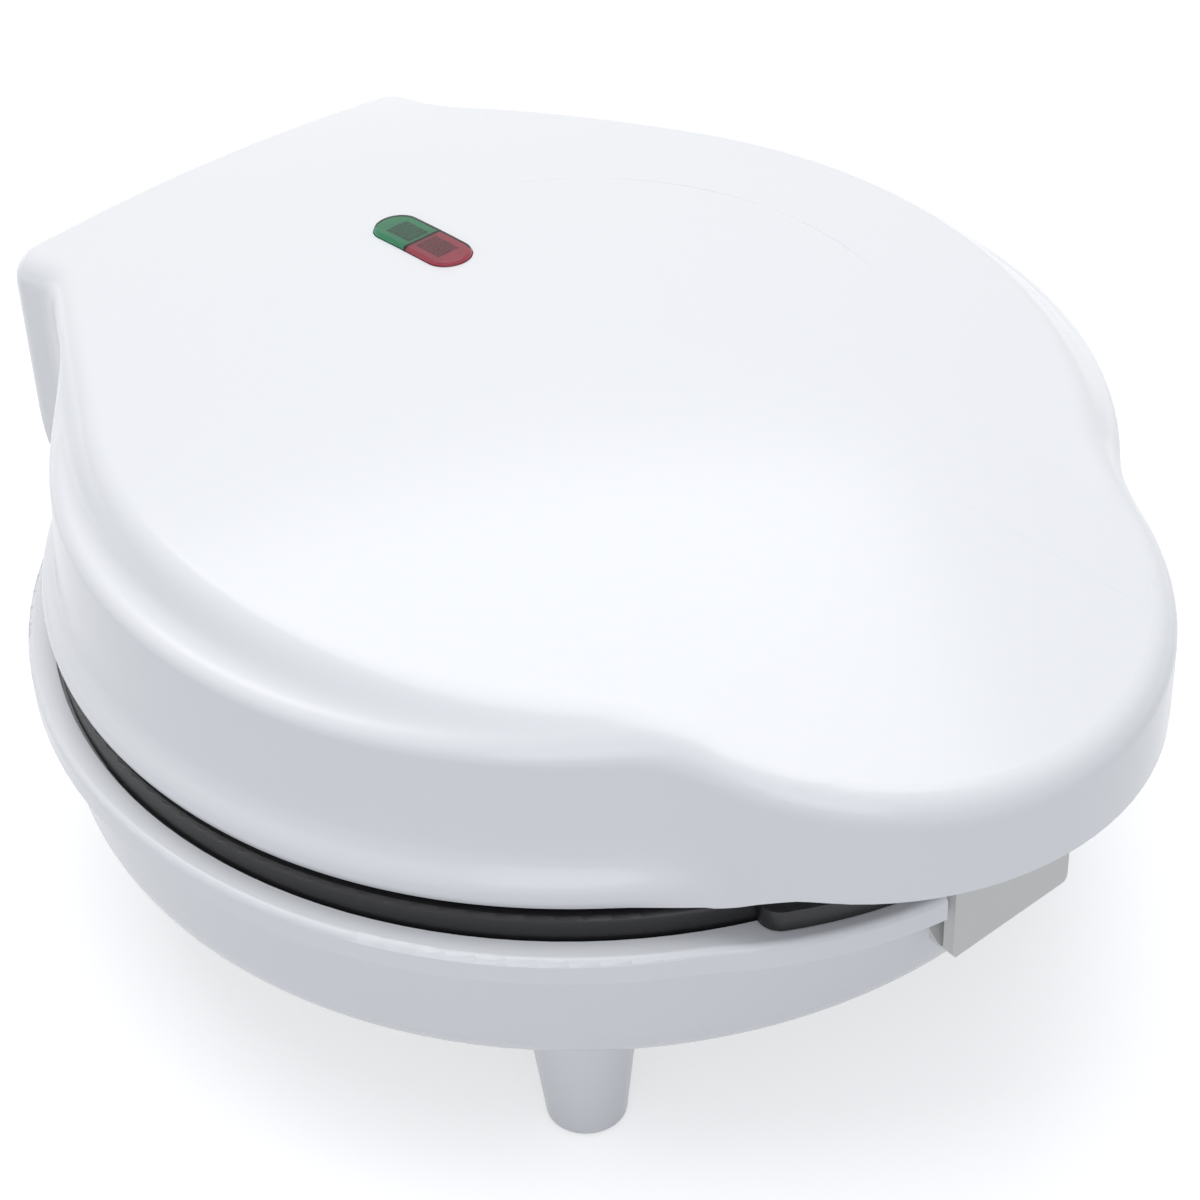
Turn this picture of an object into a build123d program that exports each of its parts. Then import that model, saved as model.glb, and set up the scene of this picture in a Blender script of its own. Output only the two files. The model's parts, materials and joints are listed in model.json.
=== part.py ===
from build123d import *
import math
import os

os.makedirs("parts", exist_ok=True)

# Plan, measured from the middle of the round plates: the skirt drives the round sizes
skirt_r = 99.8
handle_overhang = 22.2
hinge_overhang = 16.2
side_swell = 0.8
side_shift = 13.0
waist_r = 20.0
cheek_inset = 50.5
cheek_length = 18.9
cheek_corner_r = 8.0
handle_r = 54.0
handle_blend_r = 25.0

# Lid heights and walls
lid_wall = 2.6
lip_z = 57.7
platform_z = 58.9
lip_roll_r = 5.0
lip_width = 3.8
skirt_step = 0.4
skirt_lean = 2.2
shoulder_rise = 8.7
shoulder_edge_r = 2.5
crown_rise = 17.0
dome_r = 430.0
dome_shift = 15.0
top_edge_r = 6.0
handle_under_z = 65.2
handle_under_length = 18.0
handle_sweep = 20.0
cheek_under_z = 50.0
cheek_rear_z = 67.0
cheek_heel = 7.5
rear_window_z = 75.0
window_gap = 1.6

# Base bowl
foot_bottom_z = 0.6
floor_z = 22.0
base_wall = 2.4
bowl_inset = 1.4
bowl_corner_r = 9.0
band_swell = 0.6
band_z = 47.6
rim_proud = 4.0
rim_z = 52.6
flange_tighter = 21.8
flange_setback = 13.5
notch_width = 31.0
notch_depth = 4.0
foot_x = 57.8
foot_y = 63.6
foot_tip_r = 7.1
foot_height = 32.4
foot_draft = 6.3
rim_edge_r = 1.3
flange_blend_r = 40.0

# Cooking plates
plate_inset = 1.3
plate_gap = 0.3
plate_meet_z = 57.0
plate_rim = 3.4
plate_recess = 2.5
plate_web = 3.5
plate_fit = 0.6
cavity_pitch = 61.0
ring_r = 19.2
ring_half = 10.2
ring_post_gap = 0.4
cup_wall = 2.8
cup_spacing = 0.4
cup_draft = 16.0
cup_corner_r = 7.0
screw_circle_r = 84.0
screw_angles = (30, 150, 210, 330)
post_r = 4.6
element_circle_r = 61.0
element_r = 3.3
element_sink = 1.0
element_fit = 0.1
element_gap_angle = 34.0
element_bend_r = 5.0
element_leg = 4.0
leg_fit = 0.7
thread_fit = 0.03
shield_drop = 6.5
shield_sheet = 0.8
shield_r = 90.8
shield_wall = 7.0
lobe_inset = 2.6
lobe_angle = 25.0
lobe_corner_r = 4.0

# Hinge
hinge_setback = 13.0
hinge_z = 66.0
pin_r = 2.5
pin_fit = 0.06
ear_r = 6.5
lug_room = 6.9
ear_width = 6.4
hinge_clear = 0.6
lug_r = 6.0
pin_cover = 3.3
cheek_gap = 0.6
bulge_setback = 7.0
bulge_bottom_z = 34.0
bulge_corner_r = 3.0
bulge_roof = 4.0

# Latch
latch_width = 28.0
latch_wall = 2.3
latch_setback = 14.6
latch_bottom_z = 36.6
latch_pin_depth = 1.2
latch_pin_z = 75.0
latch_pin_r = 1.5
latch_hub_r = 3.8
latch_side_gap = 0.6
latch_corner_r = 3.0
rib_width = 2.6
rib_setback = 8.0
rib_bottom_z = 69.0
hook_length = 5.6
hook_tip_z = 41.0
catch_z = 42.6
catch_width = 22.0

# Fasteners
screw_r = 1.9
screw_head_r = 3.6
screw_head = 2.6
screw_fit = 0.15
boss_r = 5.5
upper_screw = 27.0
lower_screw = 20.0
small_screw = 8.0
small_screw_r = 1.4
small_head_r = 2.6
small_head = 1.8

# Indicator
lens_y = 44.0
lens_length = 24.0
lens_width = 9.0
lens_proud = 0.9
lens_fit = 0.15
lens_flange = 1.2
lens_edge_r = 0.6
lens_lip = 2.0
lamp_r = 3.0
lamp_length = 14.0
lamp_gap = 0.6
holder_wall = 1.6
holder_screw_reach = 19.0

# Electrical pieces
bushing_z = 42.5
bushing_r = 5.6
bushing_fit = 0.1
bushing_bore_r = 3.5
bushing_flange_r = 7.6
bushing_flange = 3.0
block_x = 22.0
block_setback = 8.5
block_width = 24.0
block_depth = 10.0
block_height = 9.0
block_boss = 3.0
wire_r = 1.5
thermostat_r = 8.0
thermostat_height = 10.0
thermostat_cap = 3.0
thermostat_stud_r = 2.0
thermostat_stud = 5.0
blade_size = (6.3, 0.8, 6.0)
fuse_r = 2.2
fuse_length = 12.0
clip_width = 8.0
clip_sheet = 0.6
pad_r = 6.0
pad_sunk = 1.5

# Where things lie: places that follow from the sizes above
front_reach = skirt_r + handle_overhang
rear_reach = skirt_r + hinge_overhang
centre_y = (front_reach - rear_reach) / 2
side_r = skirt_r + side_swell
shoulder_r = skirt_r - skirt_lean
lip_inner_r = skirt_r - lip_width
cheek_x = skirt_r - cheek_inset
cheek_front_y = skirt_r + cheek_gap
cheek_y = rear_reach - cheek_length
cheek_off = math.hypot(cheek_x + side_shift, cheek_y)
waist = math.atan2(cheek_y, cheek_x + side_shift) - math.acos(side_r / cheek_off)
handle_under_y = handle_under_length - front_reach
lip_end_y = handle_under_y + handle_sweep
bowl_r = skirt_r - bowl_inset
band_r = skirt_r + band_swell
rim_r = skirt_r + rim_proud
flange_r = rim_r - flange_tighter
flange_reach = front_reach - flange_setback
notch_reach = flange_reach - notch_depth
lower_plate_r = skirt_r - plate_inset
hinge_y = rear_reach - hinge_setback
ear_outer_x = cheek_x - lug_room
pin_end = cheek_x - pin_cover
bulge_reach = rear_reach - bulge_setback
latch_face = front_reach - latch_setback
latch_pin_y = latch_pin_depth - latch_face
rib_front_y = rib_setback - front_reach
hook_tip_y = hook_length - latch_face
block_y = bulge_reach - block_setback
lower_parting_z = plate_meet_z - plate_recess
upper_meet_z = plate_meet_z + plate_gap
upper_parting_z = upper_meet_z + plate_recess
cup_depth = ring_half + cup_wall
cup_r = (cavity_pitch - cup_spacing) / 2
element_depth = cup_depth + element_r - element_sink
shield_depth = cup_depth + shield_drop
element_straight = shield_depth - element_depth + shield_sheet + element_leg - element_bend_r
lower_shield_z = lower_parting_z - shield_depth - shield_sheet
upper_shield_z = upper_parting_z + shield_depth
shoulder_z = upper_shield_z + shoulder_rise
dome_top_z = shoulder_z + crown_rise
skirt_slope = (skirt_r - shoulder_r) / (shoulder_z - lip_z - lip_roll_r)
upper_plate_r = lip_inner_r - plate_fit
well_r = lower_plate_r + plate_fit
well_floor_z = lower_parting_z - plate_web - plate_fit
inner_floor_z = floor_z + base_wall
head_seat_z = floor_z + screw_head + 1.4
handle_middle = front_reach - handle_r
flange_middle = flange_reach - flange_r
rib_x = (latch_width + rib_width) / 2 + latch_side_gap
rib_middle = (rib_front_y - shoulder_r) / 2
rib_length = -rib_front_y - shoulder_r
ear_x = ear_outer_x - ear_width
upper_head_z = upper_parting_z + screw_head + 0.2
lobe_z = rim_z + plate_gap
lobe_side = flange_reach * math.tan(math.radians(lobe_angle))
catch_depth = notch_reach - band_r + base_wall / 2
foot_hollow = inner_floor_z + 2 - foot_bottom_z - pad_sunk - base_wall
flange_join_y = (rim_r**2 - flange_r**2 + flange_middle**2) / (2 * flange_middle)
flange_join_x = math.sqrt(rim_r**2 - flange_join_y**2)
bulge_floor_z = bulge_bottom_z + base_wall

cavity_turn = math.radians(60)
cavity_centres = [(0.0, 0.0)] + [
    (cavity_pitch * math.cos(n * cavity_turn), cavity_pitch * math.sin(n * cavity_turn))
    for n in range(6)
]
land_y = cavity_pitch / math.sqrt(3)
leg_turn = math.radians(90 - element_gap_angle / 2)
leg_tip = (element_circle_r * math.cos(leg_turn), element_circle_r * math.sin(leg_turn))
leg_x = leg_tip[0] - element_bend_r * math.sin(leg_turn)
leg_y = leg_tip[1] + element_bend_r * math.cos(leg_turn)
dome_middle = (0, centre_y + dome_shift, dome_top_z - dome_r)
roof_drop = dome_r - math.sqrt(dome_r**2 - (lens_y - dome_shift) ** 2)
lens_bottom_z = dome_top_z - roof_drop - lid_wall - lens_lip
lamp_z = lens_bottom_z - lamp_gap - lamp_r
holder_z = lamp_z - lamp_r - 0.1
clip_r = fuse_r + 0.1
fuse_y = clip_r + clip_sheet + small_head_r + 0.4 - land_y
fuse_z = upper_shield_z + shield_sheet + clip_r

middle = Axis((0, centre_y, 0), (0, 0, 1))
rear_face = Plane(origin=(0, centre_y + bulge_reach, 0), x_dir=(-1, 0, 0), z_dir=(0, 1, 0))
front_view = Plane(origin=(0, centre_y, 0), x_dir=(1, 0, 0), z_dir=(0, -1, 0))


def level(height):
    """A horizontal plane at this height, centred on the plates."""
    return Plane(origin=(0, centre_y, height))


def across(x):
    """An upright plane at this x: its own x runs to the rear and its y upwards."""
    return Plane(origin=(x, centre_y, 0), x_dir=(0, 1, 0), z_dir=(1, 0, 0))


def corner(sketch, x, y):
    """The corner of a sketch that lies nearest to a point."""
    return sketch.vertices().sort_by_distance((x, y))[0]


def lid_plan(inset=0.0):
    """Draws the lid's outline as seen from above, moved inwards by inset."""
    turn_x = side_r * math.cos(waist) - side_shift
    turn_y = side_r * math.sin(waist)
    with Locations((-side_shift, 0)):
        Circle(side_r)
    with Locations((side_shift, 0)):
        Circle(side_r, mode=Mode.INTERSECT)
    with Locations((0, -handle_middle)):
        Circle(handle_r)
    Polygon(
        (turn_x, turn_y), (cheek_x, cheek_y), (cheek_x, rear_reach),
        (-cheek_x, rear_reach), (-cheek_x, cheek_y), (-turn_x, turn_y),
        align=None,
    )
    plan = BuildSketch._get_context()
    for side in (-1, 1):
        fillet(corner(plan, side * cheek_x, rear_reach), cheek_corner_r)
        fillet(corner(plan, side * cheek_x, cheek_y), waist_r)
        fillet(corner(plan, side * handle_r, -handle_middle), handle_blend_r)
    if inset:
        offset(amount=-inset)


def screw_places():
    """The places of the plate screws, on the plates' own level."""
    turns = [math.radians(angle) for angle in screw_angles]
    return Locations(*[(screw_circle_r * math.cos(a), screw_circle_r * math.sin(a)) for a in turns])


def facing(height, side):
    """A horizontal plane that looks up (side 1) or down (side -1)."""
    return Plane(origin=(0, centre_y, height), x_dir=(1, 0, 0), z_dir=(0, 0, side))


# Each plate, element and heat shield is made twice: side -1 in the base, side 1 in the lid
plates = {}
elements = {}
shields = {}
for side, meet_z, plate_r in ((-1, plate_meet_z, lower_plate_r), (1, upper_meet_z, upper_plate_r)):
    parting_z = meet_z + side * plate_recess
    web_z = parting_z + side * plate_web
    element_z = parting_z + side * element_depth
    shield_z = parting_z + side * shield_depth

    with BuildPart() as plate:
        with BuildSketch(front_view) as section:
            Polygon(
                (0, web_z), (plate_r, web_z), (plate_r, meet_z), (plate_r - plate_rim, meet_z),
                (plate_r - plate_rim - plate_recess / 3, parting_z), (0, parting_z), align=None,
            )
            fillet(corner(section, plate_r, web_z), 1.2)
            fillet(corner(section, plate_r, meet_z), 0.8)
        revolve(axis=middle)
        # Cups stand out on the back
        with BuildSketch(facing(web_z, side)):
            with Locations(*cavity_centres):
                Circle(cup_r)
        extrude(amount=cup_depth - plate_web, taper=cup_draft)
        fillet(plate.edges().group_by(Axis.Z)[0 if side < 0 else -1], cup_corner_r)
        # Screw posts
        with BuildSketch(facing(web_z, side)):
            with screw_places():
                Circle(post_r)
        extrude(amount=shield_depth - plate_web)
        # Ring cavities, each with a post in its middle
        with Locations(level(parting_z)):
            with Locations(*cavity_centres):
                Torus(ring_r, ring_half, mode=Mode.SUBTRACT)
        with BuildSketch(facing(parting_z, -side)):
            with Locations(*cavity_centres):
                Circle(ring_r - ring_half - 0.4)
        extrude(amount=plate_recess - ring_post_gap, taper=8)
        # Groove for the heating element
        with Locations(level(element_z)):
            Torus(element_circle_r, element_r + element_fit, mode=Mode.SUBTRACT)

    with BuildPart() as element:
        along = Vector(math.sin(leg_turn), -math.cos(leg_turn), 0)
        away = Vector(0, 0, side)
        ends = [Vector(x, centre_y + leg_tip[1], element_z) for x in (leg_tip[0], -leg_tip[0])]
        ways = [Vector(-along.X, -along.Y, 0), Vector(along.X, -along.Y, 0)]
        with BuildLine() as tube:
            ThreePointArc(ends[0], (0, centre_y - element_circle_r, element_z), ends[1])
            for end, way in zip(ends, ways):
                bend = TangentArc(end, end + (way + away) * element_bend_r, tangent=way)
                Line(bend @ 1, bend @ 1 + away * element_straight)
        with BuildSketch(Plane(origin=tube.wire() @ 0, z_dir=tube.wire() % 0)):
            Circle(element_r)
        sweep(path=tube.wire())

    with BuildPart() as shield:
        with BuildSketch(facing(shield_z, side)):
            Circle(shield_r)
        extrude(amount=shield_sheet)
        with BuildSketch(facing(shield_z + side * shield_sheet, -side)):
            Circle(shield_r)
            Circle(shield_r - shield_sheet, mode=Mode.SUBTRACT)
        extrude(amount=shield_wall)
        with BuildSketch(facing(shield_z, side)):
            with screw_places():
                Circle(screw_r + screw_fit)
            with Locations((leg_x, side * leg_y), (-leg_x, side * leg_y)):
                Circle(element_r + leg_fit)
        extrude(amount=shield_sheet, mode=Mode.SUBTRACT)

    plates[side] = plate
    elements[side] = element
    shields[side] = shield

with BuildPart() as lower_plate:
    add(plates[-1])
    # Lobe that rests over the front flange, open where the latch passes
    with BuildSketch(level(lobe_z)) as lobe:
        with Locations((0, -flange_middle)):
            Circle(flange_r - lobe_inset)
        Circle(lower_plate_r - plate_rim / 2, mode=Mode.SUBTRACT)
        Polygon((0, 0), (-lobe_side, -flange_reach), (lobe_side, -flange_reach), align=None,
                mode=Mode.INTERSECT)
        with Locations((0, -notch_reach)):
            Rectangle(notch_width, 2 * notch_depth, mode=Mode.SUBTRACT)
        for hand in (-1, 1):
            fillet(corner(lobe, hand * lobe_side, -flange_reach), lobe_corner_r)
    extrude(amount=plate_meet_z - lobe_z)
    # Pilot holes for the screws
    with BuildSketch(level(lower_shield_z)):
        with screw_places():
            Circle(screw_r + thread_fit)
    extrude(amount=head_seat_z + lower_screw + 0.5 - lower_shield_z, mode=Mode.SUBTRACT)

with BuildPart() as upper_plate:
    add(plates[1])
    # Land under the thermostat and post under the fuse clip
    with BuildSketch(level(upper_parting_z + plate_web)):
        with Locations((0, land_y)):
            Circle(thermostat_r + 1)
    extrude(amount=cup_depth - plate_web)
    with BuildSketch(level(upper_parting_z + plate_web)):
        with Locations((0, -land_y)):
            Circle(post_r)
    extrude(amount=shield_depth - plate_web)
    with BuildSketch(level(upper_parting_z + cup_depth - thermostat_stud)):
        with Locations((0, land_y)):
            Circle(thermostat_stud_r + thread_fit)
    extrude(amount=thermostat_stud, mode=Mode.SUBTRACT)
    with BuildSketch(level(upper_shield_z - small_screw)):
        with Locations((0, -land_y)):
            Circle(small_screw_r + thread_fit)
    extrude(amount=small_screw, mode=Mode.SUBTRACT)
    # Screws pass from the cooking side, their heads sunk in
    with BuildSketch(level(upper_meet_z)):
        with screw_places():
            Circle(screw_head_r + screw_fit)
    extrude(amount=upper_head_z - upper_meet_z, mode=Mode.SUBTRACT)
    with BuildSketch(level(upper_meet_z)):
        with screw_places():
            Circle(screw_r + screw_fit)
    extrude(amount=upper_shield_z - upper_meet_z, mode=Mode.SUBTRACT)

with BuildPart() as lower_heat_shield:
    add(shields[-1])

with BuildPart() as upper_heat_shield:
    add(shields[1])
    with BuildSketch(level(upper_shield_z)):
        with Locations((0, land_y)):
            Circle(thermostat_r + leg_fit)
        with Locations((0, -land_y)):
            Circle(small_screw_r + screw_fit)
    extrude(amount=shield_sheet, mode=Mode.SUBTRACT)

# Space in the handle and in the hinge block, outside the round skirt
with BuildPart() as pockets:
    with BuildSketch(level(cheek_under_z - 1)):
        lid_plan(lid_wall)
        with Locations((0, front_reach)):
            Rectangle(2 * front_reach, 2 * front_reach, mode=Mode.INTERSECT)
        with Locations((0, -handle_middle)):
            Circle(handle_r - lid_wall)
        Circle(skirt_r + skirt_step, mode=Mode.SUBTRACT)
    extrude(amount=dome_top_z - cheek_under_z + 1)
    with Locations(dome_middle):
        Sphere(dome_r - lid_wall, mode=Mode.INTERSECT)

# Space under the crown, inside the platform's walls
with BuildPart() as crown_space:
    with BuildSketch(level(shoulder_z - lid_wall - 1)):
        lid_plan(lid_wall)
        Circle(shoulder_r - lid_wall, mode=Mode.INTERSECT)
    extrude(amount=dome_top_z - shoulder_z + lid_wall + 1)
    with Locations(dome_middle):
        Sphere(dome_r - lid_wall, mode=Mode.INTERSECT)

# Bosses and ribs that hang from the lid's roof
with BuildPart() as roof_ribs:
    with BuildSketch(level(upper_shield_z + shield_sheet)):
        with screw_places():
            Circle(boss_r)
    extrude(amount=dome_top_z - upper_shield_z)
    with BuildSketch(level(holder_z)):
        with Locations((0, lens_y - holder_screw_reach), (0, lens_y + holder_screw_reach)):
            Circle(small_head_r)
    extrude(amount=dome_top_z - holder_z)
    with BuildSketch(level(rib_bottom_z)):
        with Locations((rib_x, rib_middle), (-rib_x, rib_middle)):
            Rectangle(rib_width, rib_length)
    extrude(amount=dome_top_z - rib_bottom_z)
    with Locations(dome_middle):
        Sphere(dome_r - lid_wall / 2, mode=Mode.INTERSECT)

with BuildPart() as lid_shell:
    # Platform with the handle
    with BuildSketch(level(platform_z)):
        lid_plan()
    extrude(amount=dome_top_z - platform_z)
    # Cheeks of the hinge block hang lower than the skirt
    with BuildSketch(level(cheek_under_z)):
        lid_plan()
        with Locations((0, rear_reach)):
            Rectangle(4 * cheek_x, 2 * (rear_reach - cheek_front_y), mode=Mode.INTERSECT)
    extrude(amount=dome_top_z - cheek_under_z)
    with BuildSketch(across(-2 * cheek_x)):
        Polygon(
            (rear_reach - cheek_heel, cheek_under_z - 1), (rear_reach - cheek_heel, cheek_under_z),
            (rear_reach, cheek_rear_z), (rear_reach + 1, cheek_rear_z),
            (rear_reach + 1, cheek_under_z - 1), align=None,
        )
    extrude(amount=4 * cheek_x, mode=Mode.SUBTRACT)
    # Underside of the handle sweeps up from the lip
    with BuildSketch(across(-front_reach)):
        with BuildLine():
            sweep_up = Spline(
                (lip_end_y, platform_z), (handle_under_y, handle_under_z),
                tangents=((-1, 0), (-1, 0)),
            )
            Polyline(
                sweep_up @ 1, (-front_reach - 1, handle_under_z),
                (-front_reach - 1, lip_z - 1), (lip_end_y, lip_z - 1), sweep_up @ 0,
            )
        make_face()
    extrude(amount=2 * front_reach, mode=Mode.SUBTRACT)
    with Locations(dome_middle):
        Sphere(dome_r, mode=Mode.INTERSECT)
    fillet(lid_shell.faces().sort_by(Axis.Z)[-1].outer_wire().edges(), top_edge_r)
    # Round skirt with its lip rolled inwards
    with BuildSketch(front_view) as skirt:
        Polygon(
            (0, lip_z), (skirt_r + skirt_slope * lip_roll_r, lip_z), (shoulder_r, shoulder_z),
            (0, shoulder_z), align=None,
        )
        fillet(corner(skirt, skirt_r, lip_z), lip_roll_r)
        fillet(corner(skirt, shoulder_r, shoulder_z), shoulder_edge_r)
    revolve(axis=middle)
    # Hollow inside
    with BuildSketch(front_view):
        Polygon(
            (0, lip_z - 1), (lip_inner_r, lip_z - 1),
            (lip_inner_r, lip_z + lid_wall), (skirt_r - lid_wall, lip_z + lip_roll_r),
            (shoulder_r - lid_wall, shoulder_z - lid_wall), (0, shoulder_z - lid_wall), align=None,
        )
    revolve(axis=middle, mode=Mode.SUBTRACT)
    add(crown_space, mode=Mode.SUBTRACT)
    add(pockets, mode=Mode.SUBTRACT)
    # Window in the rear wall, between the cheeks
    with BuildSketch(level(cheek_under_z - 1)):
        with Locations((0, rear_reach)):
            Rectangle(2 * (ear_outer_x + window_gap), 3 * lid_wall)
    extrude(amount=rear_window_z - cheek_under_z + 1, mode=Mode.SUBTRACT)
    add(roof_ribs)
    # Hinge lugs on the cheeks
    for hand in (-1, 1):
        with BuildSketch(across(hand * (ear_outer_x + hinge_clear))):
            with Locations((hinge_y, hinge_z)):
                Circle(lug_r)
        extrude(amount=hand * (cheek_x - lid_wall / 2 - ear_outer_x - hinge_clear))
        with BuildSketch(across(hand * ear_outer_x)):
            with Locations((hinge_y, hinge_z)):
                Circle(pin_r + pin_fit)
        extrude(amount=hand * (pin_end + 0.3 - ear_outer_x), mode=Mode.SUBTRACT)
    # Holes for the screws, the latch pin and the lens
    with BuildSketch(level(upper_shield_z)):
        with screw_places():
            Circle(screw_r + thread_fit)
    extrude(amount=upper_head_z + upper_screw + 0.5 - upper_shield_z, mode=Mode.SUBTRACT)
    with BuildSketch(level(holder_z)):
        with Locations((0, lens_y - holder_screw_reach), (0, lens_y + holder_screw_reach)):
            Circle(small_screw_r + thread_fit)
    extrude(amount=small_screw - holder_wall + 0.3, mode=Mode.SUBTRACT)
    with BuildSketch(across(-rib_x - rib_width)):
        with Locations((latch_pin_y, latch_pin_z)):
            Circle(latch_pin_r + pin_fit)
    extrude(amount=2 * (rib_x + rib_width), mode=Mode.SUBTRACT)
    with BuildSketch(level(shoulder_z)):
        with Locations((0, lens_y)):
            SlotOverall(lens_length + 2 * lens_fit, lens_width + 2 * lens_fit, rotation=90)
    extrude(amount=dome_top_z, mode=Mode.SUBTRACT)

with BuildPart() as base_shell:
    # Bowl
    with BuildSketch(front_view) as bowl:
        Polygon((0, floor_z), (bowl_r, floor_z), (band_r, band_z), (0, band_z), align=None)
        fillet(corner(bowl, bowl_r, floor_z), bowl_corner_r)
    revolve(axis=middle)
    # Rear bulge
    with BuildSketch(level(bulge_bottom_z)) as bulge:
        with Locations((0, bulge_reach / 2)):
            Rectangle(2 * ear_outer_x, bulge_reach)
        for hand in (-1, 1):
            fillet(corner(bulge, hand * ear_outer_x, bulge_reach), bulge_corner_r)
    extrude(amount=band_z - bulge_bottom_z)
    # Rim, widened by the flange in front and by the bulge behind
    with BuildSketch(level(band_z)) as rim:
        Circle(rim_r)
        with Locations((0, -flange_middle)):
            Circle(flange_r)
        with Locations((0, bulge_reach / 2)):
            Rectangle(2 * ear_outer_x, bulge_reach)
        for hand in (-1, 1):
            fillet(corner(rim, hand * ear_outer_x, bulge_reach), bulge_corner_r)
            join_y = math.sqrt(rim_r**2 - ear_outer_x**2)
            fillet(corner(rim, hand * ear_outer_x, join_y), bulge_corner_r)
            fillet(corner(rim, hand * flange_join_x, -flange_join_y), flange_blend_r)
    extrude(amount=rim_z - band_z)
    fillet(base_shell.faces().sort_by(Axis.Z)[-1].outer_wire().edges(), rim_edge_r)
    # Feet
    with BuildSketch(level(foot_bottom_z)):
        with GridLocations(2 * foot_x, 2 * foot_y, 2, 2):
            Circle(foot_tip_r)
    extrude(amount=foot_height, taper=-foot_draft)
    # Hollow inside
    with BuildSketch(front_view) as hollow:
        Polygon(
            (0, inner_floor_z), (bowl_r - base_wall, inner_floor_z),
            (band_r - base_wall, well_floor_z), (well_r, well_floor_z), (well_r, rim_z + 1),
            (0, rim_z + 1), align=None,
        )
        fillet(corner(hollow, bowl_r - base_wall, inner_floor_z), bowl_corner_r - base_wall)
    revolve(axis=middle, mode=Mode.SUBTRACT)
    with BuildSketch(level(bulge_floor_z)):
        with Locations((0, (bulge_reach - base_wall) / 2)):
            Rectangle(2 * (ear_outer_x - base_wall), bulge_reach - base_wall)
    extrude(amount=rim_z - bulge_roof - bulge_floor_z, mode=Mode.SUBTRACT)
    with BuildSketch(level(foot_bottom_z + pad_sunk + base_wall)):
        with GridLocations(2 * foot_x, 2 * foot_y, 2, 2):
            Circle(foot_tip_r - base_wall)
    extrude(amount=foot_hollow, taper=-foot_draft, mode=Mode.SUBTRACT)
    with BuildSketch(level(foot_bottom_z)):
        with GridLocations(2 * foot_x, 2 * foot_y, 2, 2):
            Circle(pad_r)
    extrude(amount=pad_sunk, mode=Mode.SUBTRACT)
    # Notch in the flange for the latch, and the catch rib below it
    with BuildSketch(level(band_z)):
        with Locations((0, -notch_reach - notch_depth)):
            Rectangle(notch_width, 2 * notch_depth)
    extrude(amount=rim_z - band_z, mode=Mode.SUBTRACT)
    with BuildSketch(level(catch_z)):
        with Locations((0, catch_depth / 2 - notch_reach)):
            Rectangle(catch_width, catch_depth)
    extrude(amount=band_z - catch_z)
    # Hinge ears
    for ear_start in (-ear_outer_x, ear_x):
        with BuildSketch(across(ear_start)):
            Polygon(
                (hinge_y - ear_r, hinge_z), (hinge_y - ear_r, rim_z - 1),
                (bulge_reach - bulge_corner_r, rim_z - 1), (hinge_y + ear_r, hinge_z), align=None,
            )
            with Locations((hinge_y, hinge_z)):
                Circle(ear_r)
                Circle(pin_r + pin_fit, mode=Mode.SUBTRACT)
        extrude(amount=ear_width)
    # Screw bosses with sunk heads
    with BuildSketch(level(inner_floor_z - 1)):
        with screw_places():
            Circle(boss_r)
    extrude(amount=lower_shield_z - inner_floor_z + 1)
    with BuildSketch(level(floor_z)):
        with screw_places():
            Circle(screw_head_r + screw_fit)
    extrude(amount=head_seat_z - floor_z, mode=Mode.SUBTRACT)
    with BuildSketch(level(floor_z)):
        with screw_places():
            Circle(screw_r + screw_fit)
    extrude(amount=lower_shield_z - floor_z, mode=Mode.SUBTRACT)
    # Boss for the terminal block
    with BuildSketch(level(bulge_floor_z)):
        with Locations((block_x, block_y)):
            Circle(small_head_r)
    extrude(amount=block_boss)
    with BuildSketch(level(bulge_floor_z)):
        with Locations((block_x, block_y)):
            Circle(small_screw_r + thread_fit)
    extrude(amount=block_boss, mode=Mode.SUBTRACT)
    # Hole for the cord bushing
    with BuildSketch(rear_face):
        with Locations((0, bushing_z)):
            Circle(bushing_r + bushing_fit)
    extrude(amount=-2 * base_wall, mode=Mode.SUBTRACT)

with BuildPart() as foot_pads:
    with BuildSketch(level(0)):
        with GridLocations(2 * foot_x, 2 * foot_y, 2, 2):
            Circle(pad_r)
    extrude(amount=foot_bottom_z + pad_sunk)
    fillet(foot_pads.edges().group_by(Axis.Z)[0], foot_bottom_z / 2)

with BuildPart() as lower_plate_screws:
    with BuildSketch(level(head_seat_z - screw_head)):
        with screw_places():
            Circle(screw_head_r)
    extrude(amount=screw_head)
    fillet(lower_plate_screws.edges().group_by(Axis.Z)[0], 1)
    with BuildSketch(level(head_seat_z)):
        with screw_places():
            Circle(screw_r)
    extrude(amount=lower_screw)

with BuildPart() as upper_plate_screws:
    with BuildSketch(level(upper_head_z - screw_head)):
        with screw_places():
            Circle(screw_head_r)
    extrude(amount=screw_head)
    fillet(upper_plate_screws.edges().group_by(Axis.Z)[0], 1)
    with BuildSketch(level(upper_head_z)):
        with screw_places():
            Circle(screw_r)
    extrude(amount=upper_screw)

with BuildPart() as hinge_pins:
    for pin_start in (-pin_end, ear_x):
        with BuildSketch(across(pin_start)):
            with Locations((hinge_y, hinge_z)):
                Circle(pin_r)
        extrude(amount=pin_end - ear_x)
    chamfer(hinge_pins.edges().filter_by(GeomType.CIRCLE), 0.4)

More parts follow.
